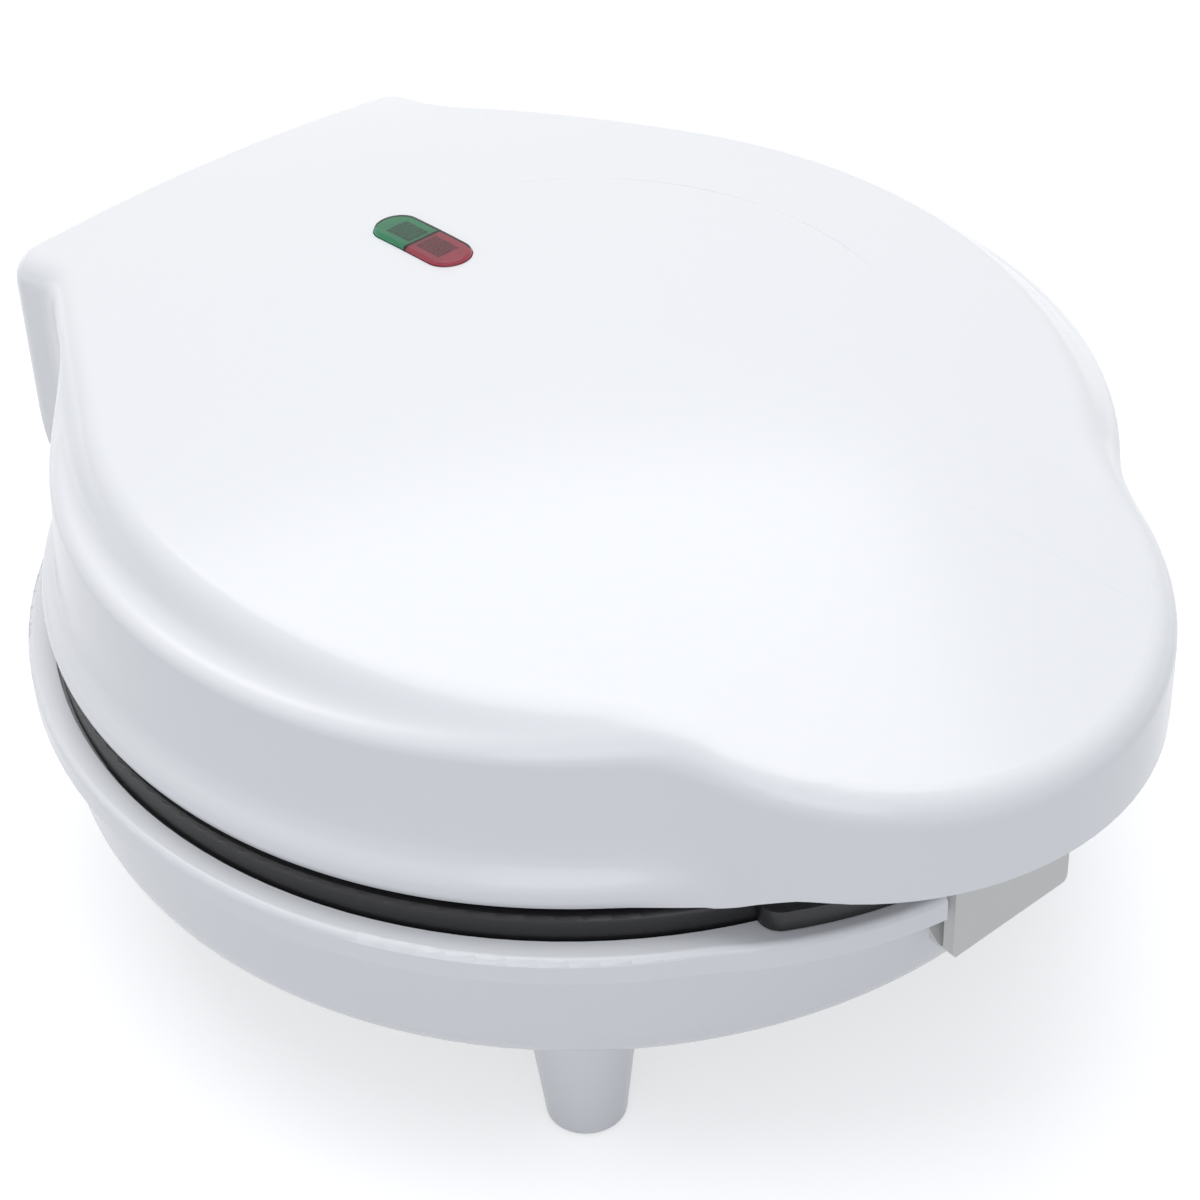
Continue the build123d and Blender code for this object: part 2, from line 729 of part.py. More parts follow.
with BuildPart() as latch:
    with BuildSketch(across(-latch_width / 2)) as hook:
        Polygon(
            (-latch_face, latch_pin_z), (-latch_face, latch_bottom_z), (hook_tip_y, latch_bottom_z),
            (hook_tip_y, hook_tip_z), (hook_tip_y - latch_wall, latch_bottom_z + latch_wall),
            (latch_wall - latch_face, latch_bottom_z + latch_wall),
            (latch_wall - latch_face, latch_pin_z), align=None,
        )
        fillet(corner(hook, -latch_face, latch_bottom_z), latch_wall - 0.6)
        fillet(corner(hook, latch_wall - latch_face, latch_bottom_z + latch_wall), 0.6)
        fillet(corner(hook, hook_tip_y, latch_bottom_z), 0.6)
        with Locations((latch_pin_y, latch_pin_z)):
            Circle(latch_hub_r)
            Circle(latch_pin_r + pin_fit, mode=Mode.SUBTRACT)
    extrude(amount=latch_width)
    # Lower corners are rounded as seen from the front
    with BuildSketch(front_view) as face:
        with Locations((0, latch_pin_z)):
            Rectangle(latch_width, 2 * (latch_pin_z - latch_bottom_z))
        for hand in (-1, 1):
            fillet(corner(face, hand * latch_width / 2, latch_bottom_z), latch_corner_r)
    extrude(amount=front_reach, mode=Mode.INTERSECT)

with BuildPart() as latch_pin:
    with BuildSketch(across(-rib_x - rib_width / 2)):
        with Locations((latch_pin_y, latch_pin_z)):
            Circle(latch_pin_r)
    extrude(amount=2 * rib_x + rib_width)
    chamfer(latch_pin.edges(), 0.3)

# Pill-shaped lens with a lip that stays under the roof
with BuildPart() as lens_lip_body:
    with BuildSketch(level(lens_bottom_z)):
        with Locations((0, lens_y)):
            SlotOverall(lens_length + 2 * lens_flange, lens_width + 2 * lens_flange, rotation=90)
    extrude(amount=2 * lens_lip)
    with Locations(dome_middle):
        Sphere(dome_r - lid_wall - lens_fit, mode=Mode.INTERSECT)

with BuildPart() as lens:
    with BuildSketch(level(lens_bottom_z)):
        with Locations((0, lens_y)):
            SlotOverall(lens_length, lens_width, rotation=90)
    extrude(amount=dome_top_z - lens_bottom_z + lens_proud)
    with Locations(dome_middle):
        Sphere(dome_r + lens_proud, mode=Mode.INTERSECT)
    fillet(lens.faces().sort_by(Axis.Z)[-1].outer_wire().edges(), lens_edge_r)
    add(lens_lip_body)

lens_joint = Plane(origin=(0, centre_y + lens_y, 0), x_dir=(1, 0, 0), z_dir=(0, 1, 0))

with BuildPart() as green_lens:
    add(lens)
    split(bisect_by=lens_joint, keep=Keep.TOP)

with BuildPart() as red_lens:
    add(lens)
    split(bisect_by=lens_joint, keep=Keep.BOTTOM)

with BuildPart() as lamp_holder:
    with BuildSketch(level(holder_z)):
        with Locations((0, lens_y)):
            SlotCenterToCenter(2 * holder_screw_reach, 2 * (lamp_r + holder_wall), rotation=90)
    extrude(amount=-holder_wall)
    with BuildSketch(level(holder_z)):
        with Locations((0, lens_y)):
            Rectangle(2 * (lamp_r + holder_wall), 2 * lamp_length + 2 * holder_wall)
            Rectangle(2 * lamp_r + 0.2, 2 * lamp_length + 2 * holder_wall, mode=Mode.SUBTRACT)
            Rectangle(2 * lamp_r + 1, holder_wall)
    extrude(amount=lamp_r)
    with BuildSketch(level(holder_z)):
        with Locations((0, lens_y - holder_screw_reach), (0, lens_y + holder_screw_reach)):
            Circle(small_screw_r + screw_fit)
    extrude(amount=-holder_wall, mode=Mode.SUBTRACT)

lamps = {}
for hand in (-1, 1):
    with BuildPart() as lamp:
        lamp_start = centre_y + lens_y + hand * (holder_wall / 2 + 0.1)
        with BuildSketch(Plane(origin=(0, lamp_start, lamp_z), x_dir=(1, 0, 0), z_dir=(0, hand, 0))):
            Circle(lamp_r)
        extrude(amount=lamp_length - holder_wall)
        fillet(lamp.faces().sort_by(Axis.Y)[0 if hand < 0 else -1].edges(), lamp_r - 0.3)
    lamps[hand] = lamp

with BuildPart() as lamp_holder_screws:
    with BuildSketch(level(holder_z - holder_wall - small_head)):
        with Locations((0, lens_y - holder_screw_reach), (0, lens_y + holder_screw_reach)):
            Circle(small_head_r)
    extrude(amount=small_head)
    fillet(lamp_holder_screws.edges().group_by(Axis.Z)[0], 0.7)
    with BuildSketch(level(holder_z - holder_wall)):
        with Locations((0, lens_y - holder_screw_reach), (0, lens_y + holder_screw_reach)):
            Circle(small_screw_r)
    extrude(amount=small_screw)

with BuildPart() as thermostat:
    with BuildSketch(level(upper_parting_z + cup_depth)):
        with Locations((0, land_y)):
            Circle(thermostat_r)
    extrude(amount=thermostat_cap)
    with BuildSketch(level(upper_parting_z + cup_depth)):
        with Locations((0, land_y)):
            Circle(thermostat_r - 1)
    extrude(amount=thermostat_height)
    with BuildSketch(level(upper_parting_z + cup_depth)):
        with Locations((0, land_y)):
            Circle(thermostat_stud_r)
    extrude(amount=-thermostat_stud + 0.3)
    with BuildSketch(level(upper_parting_z + cup_depth + thermostat_height)):
        with Locations((0, land_y - thermostat_r / 2), (0, land_y + thermostat_r / 2)):
            Rectangle(blade_size[0], blade_size[1])
    extrude(amount=blade_size[2])

with BuildPart() as thermal_fuse:
    with BuildSketch(across(-fuse_length / 2)):
        with Locations((fuse_y, fuse_z)):
            Circle(fuse_r)
    extrude(amount=fuse_length)
    fillet(thermal_fuse.edges().filter_by(GeomType.CIRCLE), 0.8)

with BuildPart() as fuse_clip:
    with BuildSketch(across(-clip_width / 2)):
        with Locations((fuse_y, fuse_z)):
            Circle(clip_r + clip_sheet)
        with Locations((fuse_y, fuse_z - clip_r)):
            Rectangle(2 * (clip_r + clip_sheet), 2 * clip_r)
        with Locations(((fuse_y - land_y - small_head_r) / 2, fuse_z - clip_r + clip_sheet / 2)):
            Rectangle(fuse_y + land_y + small_head_r, clip_sheet)
        with Locations((fuse_y, fuse_z)):
            Circle(clip_r, mode=Mode.SUBTRACT)
        with Locations((fuse_y, fuse_z - clip_r)):
            Rectangle(2 * clip_r, 2 * clip_r, mode=Mode.SUBTRACT)
        with Locations((fuse_y, fuse_z - 2 * clip_r)):
            Rectangle(clip_width, 2 * clip_r, mode=Mode.SUBTRACT)
    extrude(amount=clip_width)
    with BuildSketch(level(upper_shield_z + shield_sheet)):
        with Locations((0, -land_y)):
            Circle(small_screw_r + screw_fit)
    extrude(amount=clip_sheet, mode=Mode.SUBTRACT)

with BuildPart() as fuse_clip_screw:
    with BuildSketch(level(upper_shield_z + shield_sheet + clip_sheet)):
        with Locations((0, -land_y)):
            Circle(small_head_r)
    extrude(amount=small_head)
    fillet(fuse_clip_screw.edges().group_by(Axis.Z)[-1], 0.7)
    with BuildSketch(level(upper_shield_z + shield_sheet + clip_sheet)):
        with Locations((0, -land_y)):
            Circle(small_screw_r)
    extrude(amount=-small_screw)

with BuildPart() as cord_bushing:
    with BuildSketch(rear_face):
        with Locations((0, bushing_z)):
            Circle(bushing_flange_r)
    extrude(amount=bushing_flange)
    fillet(cord_bushing.faces().sort_by(Axis.Y)[-1].edges(), 1.2)
    with BuildSketch(rear_face):
        with Locations((0, bushing_z)):
            Circle(bushing_r)
    extrude(amount=-2 * base_wall)
    with BuildSketch(rear_face.offset(bushing_flange)):
        with Locations((0, bushing_z)):
            Circle(bushing_bore_r)
    extrude(amount=-bushing_flange - 2 * base_wall, mode=Mode.SUBTRACT)

with BuildPart() as terminal_block:
    with BuildSketch(level(bulge_floor_z)):
        with Locations((block_x, block_y)):
            Rectangle(block_width, block_depth)
    extrude(amount=block_height)
    with BuildSketch(level(bulge_floor_z)):
        with Locations((block_x, block_y)):
            Circle(small_head_r + screw_fit)
    extrude(amount=block_boss, mode=Mode.SUBTRACT)
    with BuildSketch(level(bulge_floor_z)):
        with Locations((block_x, block_y)):
            Circle(small_screw_r + screw_fit)
    extrude(amount=block_height, mode=Mode.SUBTRACT)
    with BuildSketch(rear_face):
        with Locations((-block_x, bulge_floor_z + block_height / 2)):
            with GridLocations(block_width * 2 / 3, 1, 2, 1):
                Circle(wire_r)
    extrude(amount=-2 * block_depth, mode=Mode.SUBTRACT)

with BuildPart() as terminal_screw:
    with BuildSketch(level(bulge_floor_z + block_height)):
        with Locations((block_x, block_y)):
            Circle(small_head_r)
    extrude(amount=small_head)
    fillet(terminal_screw.edges().group_by(Axis.Z)[-1], 0.7)
    with BuildSketch(level(bulge_floor_z + block_height)):
        with Locations((block_x, block_y)):
            Circle(small_screw_r)
    extrude(amount=-small_screw)

nodes = {
    "base_shell": base_shell,
    "foot_pads": foot_pads,
    "lower_plate": lower_plate,
    "lower_element": elements[-1],
    "lower_heat_shield": lower_heat_shield,
    "lower_plate_screws": lower_plate_screws,
    "hinge_pins": hinge_pins,
    "cord_bushing": cord_bushing,
    "terminal_block": terminal_block,
    "terminal_screw": terminal_screw,
    "lid_shell": lid_shell,
    "upper_plate": upper_plate,
    "upper_element": elements[1],
    "upper_heat_shield": upper_heat_shield,
    "upper_plate_screws": upper_plate_screws,
    "thermostat": thermostat,
    "thermal_fuse": thermal_fuse,
    "fuse_clip": fuse_clip,
    "fuse_clip_screw": fuse_clip_screw,
    "green_lens": green_lens,
    "red_lens": red_lens,
    "lamp_holder": lamp_holder,
    "red_lamp": lamps[-1],
    "green_lamp": lamps[1],
    "lamp_holder_screws": lamp_holder_screws,
    "latch": latch,
    "latch_pin": latch_pin,
}
for label, node in nodes.items():
    node.part.label = label
    export_step(node.part, f"parts/{label}.step")
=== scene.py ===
import json
import logging
import math
from dataclasses import dataclass, field
from enum import Enum

import bpy
import numpy as np
from mathutils import Matrix, Vector

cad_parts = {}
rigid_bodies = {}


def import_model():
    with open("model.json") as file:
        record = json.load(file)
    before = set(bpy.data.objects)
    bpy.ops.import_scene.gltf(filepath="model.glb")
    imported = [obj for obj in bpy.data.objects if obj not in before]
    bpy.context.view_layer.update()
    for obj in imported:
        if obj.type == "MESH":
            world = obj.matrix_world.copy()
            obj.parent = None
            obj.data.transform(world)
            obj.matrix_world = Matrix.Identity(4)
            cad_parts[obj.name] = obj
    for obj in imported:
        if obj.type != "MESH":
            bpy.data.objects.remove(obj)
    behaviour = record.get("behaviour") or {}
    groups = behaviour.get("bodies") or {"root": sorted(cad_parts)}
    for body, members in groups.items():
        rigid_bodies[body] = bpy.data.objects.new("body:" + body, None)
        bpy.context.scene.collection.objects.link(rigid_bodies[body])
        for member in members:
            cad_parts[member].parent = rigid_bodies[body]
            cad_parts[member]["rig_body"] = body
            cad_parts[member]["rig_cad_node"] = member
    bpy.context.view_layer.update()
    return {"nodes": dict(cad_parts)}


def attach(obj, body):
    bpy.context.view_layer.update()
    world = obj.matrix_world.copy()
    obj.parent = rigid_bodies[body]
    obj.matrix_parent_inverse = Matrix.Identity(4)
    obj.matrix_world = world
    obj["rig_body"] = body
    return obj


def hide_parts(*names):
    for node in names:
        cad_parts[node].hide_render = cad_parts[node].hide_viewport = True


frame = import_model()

LOG = logging.getLogger("mini_donut_maker")
# One millimetre in metres
MM = 0.001
# The middle of the round plates lies this far behind the frame's middle, in mm
CENTRE_Y = 3.0
# Edges that turn more than this stay sharp, in degrees
SHARP_DEG = 30.0
# Heights nearer than this count as one, in mm
TOUCH = 0.01


class Hand(Enum):
    """The two flanks of the lid, with the sign of their x."""

    LEFT = -1
    RIGHT = 1


class Half(Enum):
    """The two halves of the lens, with the sign of their y from the joint."""

    REAR = 1
    FRONT = -1


def linear(hex_colour: str) -> tuple[float, float, float, float]:
    """Turns an sRGB hex colour into linear values.

    Args:
        hex_colour: six hex digits, such as "F0F1F4".

    Returns:
        Red, green, blue and an alpha of 1, all linear.
    """
    parts = [int(hex_colour[k : k + 2], 16) / 255 for k in (0, 2, 4)]
    return (*(p / 12.92 if p <= 0.04045 else ((p + 0.055) / 1.055) ** 2.4 for p in parts), 1.0)


def eased(value: np.ndarray, start: float, end: float) -> np.ndarray:
    """Rises from 0 to 1 between two values, with soft ends.

    Args:
        value: the values to map.
        start: where the rise is 0.
        end: where it is 1, which may lie below the start.

    Returns:
        One share for each value.
    """
    share = np.clip((value - start) / (end - start), 0, 1)
    return share**2 * (3 - 2 * share)


def add_node(
    tree: bpy.types.NodeTree,
    kind: str,
    values: dict | None = None,
    links: dict | None = None,
    **settings: object,
) -> bpy.types.Node:
    """Adds a shader node with its settings, socket values and incoming links.

    Args:
        tree: the node tree that gets the node.
        kind: the node's Blender type.
        values: socket name or index to a fixed value.
        links: socket name or index to the output socket that feeds it.
        **settings: the node's own properties.

    Returns:
        The new node.
    """
    node = tree.nodes.new(kind)
    for name, value in settings.items():
        setattr(node, name, value)
    for name, value in (values or {}).items():
        node.inputs[name].default_value = value
    for name, source in (links or {}).items():
        tree.links.new(source, node.inputs[name])
    return node


@dataclass(frozen=True)
class Grain:
    """A fine relief that a finish shows.

    Args:
        size_mm: the width of one grain.
        height_mm: the height of the relief.
        contrast: how far the roughness changes from grain to grain.
    """

    size_mm: float
    height_mm: float
    contrast: float = 0.0


@dataclass(frozen=True)
class Ribs:
    """Straight ribs that are moulded into a finish.

    Args:
        pitch_mm: the distance from rib to rib.
        height_mm: how far they stand out.
        turn_deg: how far they turn from the part's own x.
    """

    pitch_mm: float
    height_mm: float
    turn_deg: float


@dataclass(frozen=True)
class Finish:
    """A surface as it is made and as it meets the eye.

    Args:
        name: the material and how it was made.
        slot: the record's material slot; not used.
        colour: sRGB hex colour.
        roughness: the plain roughness.
        metallic: 1 for bare metal.
        ior: index of refraction.
        transmission: how clear the material is.
        grain: its fine relief, if it shows one.
        ribs: its moulded ribs, if it has them.
    """

    name: str
    slot: str
    colour: str
    roughness: float
    metallic: float = 0.0
    ior: float = 1.5
    transmission: float = 0.0
    grain: Grain | None = None
    ribs: Ribs | None = None

    def material(self) -> bpy.types.Material:
        """Makes the material once and returns it again when asked again.

        Returns:
            The Blender material of this finish.
        """
        made = bpy.data.materials.get(self.name)
        if made:
            return made
        made = bpy.data.materials.new(self.name)
        made.use_nodes = True
        tree = made.node_tree
        tree.nodes.clear()
        surface = add_node(tree, "ShaderNodeBsdfPrincipled", {
            "Base Color": linear(self.colour),
            "Roughness": self.roughness,
            "Metallic": self.metallic,
            "IOR": self.ior,
            "Transmission Weight": self.transmission,
        })
        if self.grain:
            self.add_grain(tree, surface)
        if self.ribs:
            self.add_ribs(tree, surface)
        add_node(tree, "ShaderNodeOutputMaterial", links={"Surface": surface.outputs["BSDF"]})
        return made

    def add_grain(self, tree: bpy.types.NodeTree, surface: bpy.types.Node) -> None:
        """Adds the relief and the change of roughness to the surface.

        Args:
            tree: the material's node tree.
            surface: its Principled node.
        """
        place = add_node(tree, "ShaderNodeTexCoord")
        grain = add_node(
            tree,
            "ShaderNodeTexNoise",
            {"Scale": 1 / (self.grain.size_mm * MM), "Detail": 3.0, "Roughness": 0.6},
            {"Vector": place.outputs["Object"]},
        )
        bump = add_node(
            tree,
            "ShaderNodeBump",
            {"Strength": 1.0, "Distance": self.grain.height_mm * MM},
            {"Height": grain.outputs["Fac"]},
        )
        tree.links.new(bump.outputs["Normal"], surface.inputs["Normal"])
        if self.grain.contrast:
            # Nearly all of the noise lies between 0.3 and 0.7
            spread = add_node(
                tree,
                "ShaderNodeMapRange",
                {
                    "From Min": 0.3,
                    "From Max": 0.7,
                    "To Min": self.roughness - self.grain.contrast / 2,
                    "To Max": self.roughness + self.grain.contrast / 2,
                },
                {"Value": grain.outputs["Fac"]},
            )
            tree.links.new(spread.outputs["Result"], surface.inputs["Roughness"])

    def add_ribs(self, tree: bpy.types.NodeTree, surface: bpy.types.Node) -> None:
        """Adds straight ribs to the surface.

        Args:
            tree: the material's node tree.
            surface: its Principled node.
        """
        place = add_node(tree, "ShaderNodeTexCoord")
        turned = add_node(
            tree,
            "ShaderNodeMapping",
            {"Rotation": (0, 0, math.radians(self.ribs.turn_deg))},
            {"Vector": place.outputs["Object"]},
        )
        # A wave texture goes through one band in pi / 10 of its scaled unit
        wave = add_node(
            tree,
            "ShaderNodeTexWave",
            {"Scale": math.pi / (10 * self.ribs.pitch_mm * MM)},
            {"Vector": turned.outputs["Vector"]},
            wave_type="BANDS",
            bands_direction="X",
        )
        bump = add_node(
            tree,
            "ShaderNodeBump",
            {"Strength": 1.0, "Distance": self.ribs.height_mm * MM},
            {"Height": wave.outputs["Fac"]},
        )
        tree.links.new(bump.outputs["Normal"], surface.inputs["Normal"])


# White polypropylene from a polished mould: an even gloss with soft reflections
WHITE_SHELL = Finish("polypropylene_white_moulded", "white_shell", "F0F1F3", 0.22, ior=1.49)
# The same resin, undyed and less polished: a greyer, duller hook plate
LATCH_PLASTIC = Finish(
    "polypropylene_grey_white_moulded", "latch_plastic", "DEDEDA", 0.42, ior=1.49,
    grain=Grain(0.6, 0.004),
)
# Sprayed non-stick coat over cast aluminium: near black with a fine orange peel
NONSTICK = Finish(
    "cast_aluminium_nonstick_sprayed", "nonstick", "1B1B1D", 0.38, grain=Grain(0.5, 0.02, 0.1),
)
# Steel tube darkened by heat: dull and brownish
ELEMENT_SHEATH = Finish(
    "steel_sheath_heat_darkened", "element_sheath", "6B6763", 0.45, metallic=1.0,
    grain=Grain(0.8, 0.01, 0.15),
)
# Aluminised sheet as rolled: pale and slightly streaked
SHIELD_SHEET = Finish(
    "aluminised_steel_rolled", "shield_sheet", "C8CACB", 0.34, metallic=1.0,
    grain=Grain(1.2, 0.006, 0.12),
)
# Zinc plated steel: bright, slightly bluish
ZINC_STEEL = Finish("steel_zinc_plated", "steel", "B4B9BF", 0.26, metallic=1.0)
# Moulded phenolic body of the thermostat: black and matte
PHENOLIC = Finish(
    "phenolic_black_moulded", "thermostat_body", "1E1C1B", 0.55, grain=Grain(0.3, 0.01),
)
# Woven fibreglass sleeve over the fuse: pale straw and matte
FUSE_SLEEVE = Finish(
    "fibreglass_sleeve_woven", "fuse_sleeve", "D8D1BC", 0.8, grain=Grain(0.4, 0.05),
)
# Soft white nylon of the small inner pieces: satin
WHITE_NYLON = Finish("nylon_white_moulded", "white_soft", "DCDDDA", 0.48)
# Rubber of the feet: dark grey and matte
PAD_RUBBER = Finish("rubber_grey_moulded", "pad_rubber", "3A3B3D", 0.75, grain=Grain(0.4, 0.02))
# Dyed clear polycarbonate: glassy, with a depth of colour that the walls behind it send back
GREEN_CLEAR = Finish(
    "polycarbonate_green_moulded", "green_clear", "3DB584", 0.04, ior=1.45, transmission=1.0,
)
RED_CLEAR = Finish(
    "polycarbonate_red_moulded", "red_clear", "EE5F77", 0.04, ior=1.45, transmission=1.0,
)
# The wall behind each lens: pale, with almost no gloss of its own, so that the dye colours it
LENS_WALL_GREEN = Finish("polycarbonate_green_frosted", "green_clear", "A4B5AC", 0.6, ior=1.02)
LENS_WALL_RED = Finish("polycarbonate_red_frosted", "red_clear", "A99A9C", 0.6, ior=1.02)
# Fine slanted ribs under the middle of each lens, which scatter the light; their colour, darker
# than the wall's, is painted shade for the dusky look this gives
GREEN_RIBS_PAINTED_SHADE = Finish(
    "polycarbonate_green_ribbed_painted_shade", "green_clear", "77867E", 0.4, ior=1.25,
    ribs=Ribs(0.55, 0.25, 62),
)
RED_RIBS_PAINTED_SHADE = Finish(
    "polycarbonate_red_ribbed_painted_shade", "red_clear", "827578", 0.4, ior=1.25,
    ribs=Ribs(0.55, 0.25, 62),
)
# Clear glass of the neon lamps: bright, with hardly any tint
LAMP_GLASS = Finish("glass_clear_blown", "lamp_glass", "F2E6DC", 0.05, ior=1.5, transmission=0.9)


def deselect() -> None:
    """Goes back to object mode and selects nothing."""
    if bpy.context.mode != "OBJECT":
        bpy.ops.object.mode_set(mode="OBJECT")
    bpy.ops.object.select_all(action="DESELECT")


def only(piece: bpy.types.Object) -> None:
    """Selects one object alone and makes it active.

    Args:
        piece: the object to select.
    """
    deselect()
    piece.select_set(True)
    bpy.context.view_layer.objects.active = piece


def settle(piece: bpy.types.Object) -> None:
    """Puts the object's place, turn and size into its mesh."""
    only(piece)
    bpy.ops.object.transform_apply(location=True, rotation=True, scale=True)


def apply_modifier(piece: bpy.types.Object, kind: str, **settings: object) -> None:
    """Adds a modifier with its settings and applies it.

    Args:
        piece: the object to change.
        kind: the modifier's Blender type.
        **settings: the modifier's own properties.
    """
    only(piece)
    modifier = piece.modifiers.new(kind.lower(), kind)
    for name, value in settings.items():
        setattr(modifier, name, value)
    bpy.ops.object.modifier_apply(modifier=modifier.name)


def dress(piece: bpy.types.Object, finish: Finish) -> None:
    """Gives an object one finish all over.

    Args:
        piece: the object to dress.
        finish: its surface.
    """
    piece.data.materials.clear()
    piece.data.materials.append(finish.material())


def smooth(piece: bpy.types.Object) -> None:
    """Shades a piece smooth between its sharp edges, with large faces kept true.

    Args:
        piece: the object to shade.
    """
    only(piece)
    bpy.ops.object.shade_smooth_by_angle(angle=math.radians(SHARP_DEG))
    apply_modifier(piece, "WEIGHTED_NORMAL", mode="FACE_AREA", weight=50, keep_sharp=True)


def join(pieces: list[bpy.types.Object]) -> None:
    """Joins objects into the first of them.

    Args:
        pieces: the objects, the one that stays first.
    """
    only(pieces[0])
    for piece in pieces[1:]:
        piece.select_set(True)
    bpy.ops.object.join()


def finished(node: str, finish: Finish) -> bpy.types.Object:
    """Copies a solid of the frame, with the true directions of its faces, and dresses it.

    Args:
        node: the name of the solid.
        finish: its surface.

    Returns:
        The copy, which stands for the solid and rides on its body.
    """
    source = frame["nodes"][node]
    piece = source.copy()
    piece.data = source.data.copy()
    piece.name = piece.data.name = f"{node}_finished"
    bpy.context.scene.collection.objects.link(piece)
    piece.parent = None
    del piece["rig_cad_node"]
    dress(piece, finish)
    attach(piece, source["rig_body"])
    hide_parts(node)
    LOG.info("%s stands for %s: %d faces", piece.name, node, len(piece.data.polygons))
    return piece


@dataclass
class LidShape:
    """The outside of the lid as distances, measured from the middle of the plates in mm.

    Args:
        side_r: radius of the two wide sides.
        side_shift: how far their centres lie past the middle.
        waist_deg: the angle at which the sides turn straight.
        waist_r: radius of the waist.
        cheek_x: half the width of the hinge block.
        cheek_y: how far back its own sides start to count.
        handle_r: radius of the handle.
        handle_y: where its centre lies.
        blend_r: radius between the handle and the sides.
        crown_r: radius of the crown.
        crown_shift: how far behind the middle the crown is highest.
        crown_z: the height of the crown.
        edge_r: radius of the crown's edge.
        skirt_r: radius of the skirt at its foot.
        skirt_foot_z: the height at which the skirt starts to lean.
        shoulder_r: radius of the shoulder.
        shoulder_z: its height.
        shoulder_edge_r: radius of its edge.
        melt: how far the skirt and the platform flow into one another.
        crease: the width that is left of it where the flow ends.
        recess: how far the skirt's wall lies behind its foot.
        bead: radius and height of the foot's rolled bead, and the bead's own radius.
        bead_fade: how far the bead draws in where the flow ends.
        flare: how far the wall and the bead flow into one another.
        front_deg: where the flow starts beside the handle, and where it is full.
        rear_deg: where the flow is last full, and where it ends beside the hinge block.
        step: the step in plan that finds the outline's direction.
        farthest: how far a ray from the inner ring looks for the skin.
        halvings: how often it halves that way to find it.
    """

    side_r: float = 100.6
    side_shift: float = 13.0
    waist_deg: float = 28.0
    waist_r: float = 20.0
    cheek_x: float = 49.3
    cheek_y: float = 80.0
    handle_r: float = 54.0
    handle_y: float = -68.0
    blend_r: float = 25.0
    crown_r: float = 430.0
    crown_shift: float = 15.0
    crown_z: float = 105.0
    edge_r: float = 6.0
    skirt_r: float = 99.8
    skirt_foot_z: float = 62.7
    shoulder_r: float = 97.6
    shoulder_z: float = 88.0
    shoulder_edge_r: float = 2.1
    melt: float = 8.0
    crease: float = 0.01
    recess: float = 3.0
    bead: tuple[float, float, float] = (96.2, 62.5, 3.4)
    bead_fade: float = 1.5
    flare: float = 3.6
    front_deg: tuple[float, float] = (-72.0, -54.0)
    rear_deg: tuple[float, float] = (49.0, 60.0)
    step: float = 0.01
    farthest: float = 60.0
    halvings: int = 24

    def crown_centre(self) -> np.ndarray:
        """The middle of the crown's sphere."""
        return np.array([0.0, self.crown_shift, self.crown_z - self.crown_r])

    def hollow(
        self, place: np.ndarray, plain: np.ndarray, middle: np.ndarray, radius: float,
        first: np.ndarray, last: np.ndarray,
    ) -> np.ndarray:
        """Rounds an inner corner of the plan.

        Args:
            place: points in plan, one in a row.
            plain: their distances to the plan without the rounding.
            middle: the centre of the rounding.
            radius: its radius.
            first: direction from its centre to where it starts.
            last: direction from its centre to where it ends.

        Returns:
            The distances with the rounding.
        """
        ray = place - middle
        reach = np.linalg.norm(ray, axis=1)
        half = (first + last) / np.linalg.norm(first + last)
        inside = ray @ half > reach * float(first @ half)
        return np.where(inside, radius - reach, plain)

    def plan(self, place: np.ndarray) -> np.ndarray:
        """Distances to the lid's outline from above, negative inside it.

        Args:
            place: points in plan on the right side, one in a row.

        Returns:
            One distance for each point.
        """
        side = np.array([-self.side_shift, 0.0])
        handle = np.array([0.0, self.handle_y])
        turn = math.radians(self.waist_deg)
        outward = np.array([math.cos(turn), math.sin(turn)])
        round_side = np.linalg.norm(place - side, axis=1) - self.side_r
        straight = (place - side) @ outward - self.side_r
        past = (place - side) @ np.array([-outward[1], outward[0]]) > 0
        wide = np.where(past, straight, round_side)
        cheek = place[:, 0] - self.cheek_x
        waist_x = self.cheek_x + self.waist_r
        waist_y = self.side_r + self.waist_r - outward[0] * (waist_x + self.side_shift)
        waist = np.array([waist_x, waist_y / outward[1]])
        found = np.where(place[:, 1] > self.cheek_y, np.minimum(wide, cheek), wide)
        found = self.hollow(place, found, waist, self.waist_r, -outward, np.array([-1.0, 0.0]))
        found = np.minimum(found, np.linalg.norm(place - handle, axis=1) - self.handle_r)
        across = side - handle
        gap = float(np.linalg.norm(across))
        near, far = self.handle_r + self.blend_r, self.side_r + self.blend_r
        along = (near**2 - far**2 + gap**2) / (2 * gap)
        ahead = across / gap
        blend = handle + along * ahead
        blend = blend + math.sqrt(near**2 - along**2) * np.array([ahead[1], -ahead[0]])
        return self.hollow(
            place, found, blend, self.blend_r, (handle - blend) / near, (side - blend) / far
        )

    def flow(self, place: np.ndarray) -> np.ndarray:
        """Tells how much the skirt and the platform flow together.

        Args:
            place: points on the right side, one in a row.

        Returns:
            One share for each point: 1 on the sides, 0 at both ends.
        """
        angle = np.degrees(np.arctan2(place[:, 1], place[:, 0]))
        last, end = self.rear_deg
        return eased(angle, *self.front_deg) * eased(angle, end, last)

    def merged(
        self, one: np.ndarray, other: np.ndarray, melt: np.ndarray | float
    ) -> np.ndarray:
        """Joins two distances, with the inner corner between them rounded.

        Args:
            one: distances to the first form.
            other: distances to the second form.
            melt: the width over which the corner is rounded.

        Returns:
            The distances to both forms together.
        """
        share = np.maximum(melt - np.abs(one - other), 0) / melt
        return np.minimum(one, other) - share**2 * melt / 4

